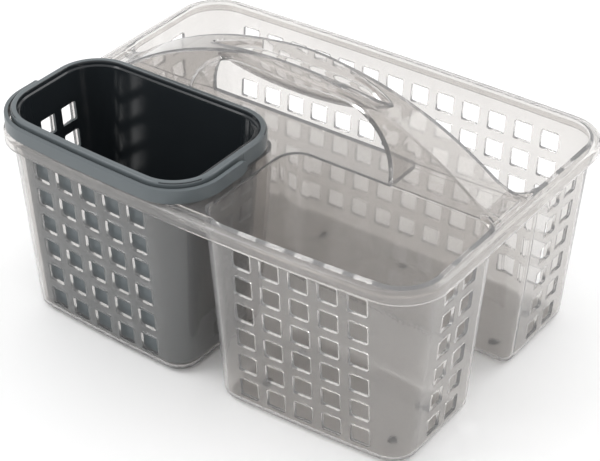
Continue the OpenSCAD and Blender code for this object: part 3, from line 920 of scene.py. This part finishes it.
class CADDY_OT_basket(bpy.types.Operator):
    """Build the lift-out basket"""

    bl_idname = "caddy.basket"
    bl_label = "Lift-out basket"

    def execute(self, context):
        scene = context.scene
        shell = basket_shell(scene.caddy_tote, scene.caddy_basket)
        finish_piece(shell, "basket_moulding", "basket", ["basket_well", "basket_rim"],
                     grey_polypropylene("Grey satin polypropylene", scene.caddy_finishes.basket, 0.26, 0.38))
        # the second material is the same grey plastic, glossier, and made darker as painted shade inside the
        # basket
        shell.data.materials.append(
            grey_polypropylene("Polished inside of the basket with painted shade", scene.caddy_finishes.basket_inside_shade,
                               0.1, 0.18))
        paint_shade_inside(shell, scene.caddy_tote, scene.caddy_basket)
        return {"FINISHED"}


class CADDY_OT_bail(bpy.types.Operator):
    """Build the folding bail of the basket"""

    bl_idname = "caddy.bail"
    bl_label = "Folding bail"

    def execute(self, context):
        scene = context.scene
        strap = bail_strap(scene.caddy_tote, scene.caddy_basket)
        finish_piece(strap, "bail_strap", "bail", ["bail_handle"],
                     grey_polypropylene("Grey polypropylene strap", scene.caddy_finishes.bail, 0.3, 0.42))
        return {"FINISHED"}


class CADDY_OT_stage(bpy.types.Operator):
    """Set up the floor, the light and the camera"""

    bl_idname = "caddy.stage"
    bl_label = "Studio"

    def execute(self, context):
        scene = context.scene
        select_none()
        bpy.ops.mesh.primitive_plane_add(size=12, location=(0, 0, 0))
        floor = context.object
        floor.name = "studio_floor"
        floor.data.materials.append(studio_paper(scene.caddy_finishes.floor))
        world = bpy.data.worlds.new("soft studio")
        scene.world = world
        world.use_nodes = True
        world.node_tree.nodes["Background"].inputs["Color"].default_value = (1, 1, 1, 1)
        world.node_tree.nodes["Background"].inputs["Strength"].default_value = 1.0
        lamps = (("key", (-0.9, -0.9, 1.5), 0.9, 9.0), ("back", (0.6, 1.2, 1.2), 1.0, 6.0))
        for name, place, size, power in lamps:
            bpy.ops.object.light_add(type="AREA", location=place)
            lamp = context.object
            lamp.name = name
            lamp.data.size = size
            lamp.data.energy = power
            lamp.rotation_euler = (Vector((0, 0, 0.1)) - Vector(place)).to_track_quat("-Z", "Y").to_euler()
        add_camera(scene)
        scene.view_settings.view_transform = "Standard"
        # a look through the tote crosses up to a dozen clear walls, each with two faces
        scene.cycles.max_bounces = 32
        scene.cycles.transmission_bounces = 32
        scene.cycles.transparent_max_bounces = 32
        return {"FINISHED"}


def add_camera(scene):
    """The camera: a long lens from the front right, looking down on the tote."""
    azimuth, elevation, roll = math.radians(36.584), math.radians(35.896), math.radians(-0.369)
    back = Vector((math.sin(azimuth) * math.cos(elevation), -math.cos(azimuth) * math.cos(elevation),
                   math.sin(elevation)))
    right = Vector((math.cos(azimuth), math.sin(azimuth), 0))
    up = back.cross(right)
    turned_right = right * math.cos(roll) + up * math.sin(roll)
    turned_up = up * math.cos(roll) - right * math.sin(roll)
    data = bpy.data.cameras.new("camera")
    camera = bpy.data.objects.new("camera", data)
    scene.collection.objects.link(camera)
    camera.matrix_world = Matrix.Translation((0.6161, -0.8657, 0.7855)) @ Matrix(
        (turned_right, turned_up, back)).transposed().to_4x4()
    data.sensor_width = 36
    data.lens = 111.8
    data.shift_x = 0.0551
    data.shift_y = 0.0959
    data.clip_start, data.clip_end = 0.05, 50
    scene.camera = camera


class CADDY_PT_panel(bpy.types.Panel):
    """Lists the pieces of the caddy"""

    bl_label = "Shower caddy"
    bl_idname = "CADDY_PT_panel"
    bl_space_type = "VIEW_3D"
    bl_region_type = "UI"
    bl_category = "Caddy"

    def draw(self, context):
        for operator in BUILD_ORDER:
            self.layout.operator(operator)


BUILD_ORDER = ("caddy.tote", "caddy.basket", "caddy.bail", "caddy.stage")
CLASSES = (CaddyToteSizes, CaddyHandleSizes, CaddyBasketSizes, CaddyFinishes,
           CADDY_OT_tote, CADDY_OT_basket, CADDY_OT_bail, CADDY_OT_stage, CADDY_PT_panel)


def register():
    """Adds the classes and the scene's groups of sizes."""
    for cls in CLASSES:
        bpy.utils.register_class(cls)
    bpy.types.Scene.caddy_tote = bpy.props.PointerProperty(type=CaddyToteSizes)
    bpy.types.Scene.caddy_handle = bpy.props.PointerProperty(type=CaddyHandleSizes)
    bpy.types.Scene.caddy_basket = bpy.props.PointerProperty(type=CaddyBasketSizes)
    bpy.types.Scene.caddy_finishes = bpy.props.PointerProperty(type=CaddyFinishes)


def unregister():
    """Takes them away again."""
    for name in ("caddy_finishes", "caddy_basket", "caddy_handle", "caddy_tote"):
        delattr(bpy.types.Scene, name)
    for cls in reversed(CLASSES):
        bpy.utils.unregister_class(cls)


def main():
    register()
    for operator in BUILD_ORDER:
        group, name = operator.split(".")
        getattr(getattr(bpy.ops, group), name)()


if __name__ == "__main__":
    main()
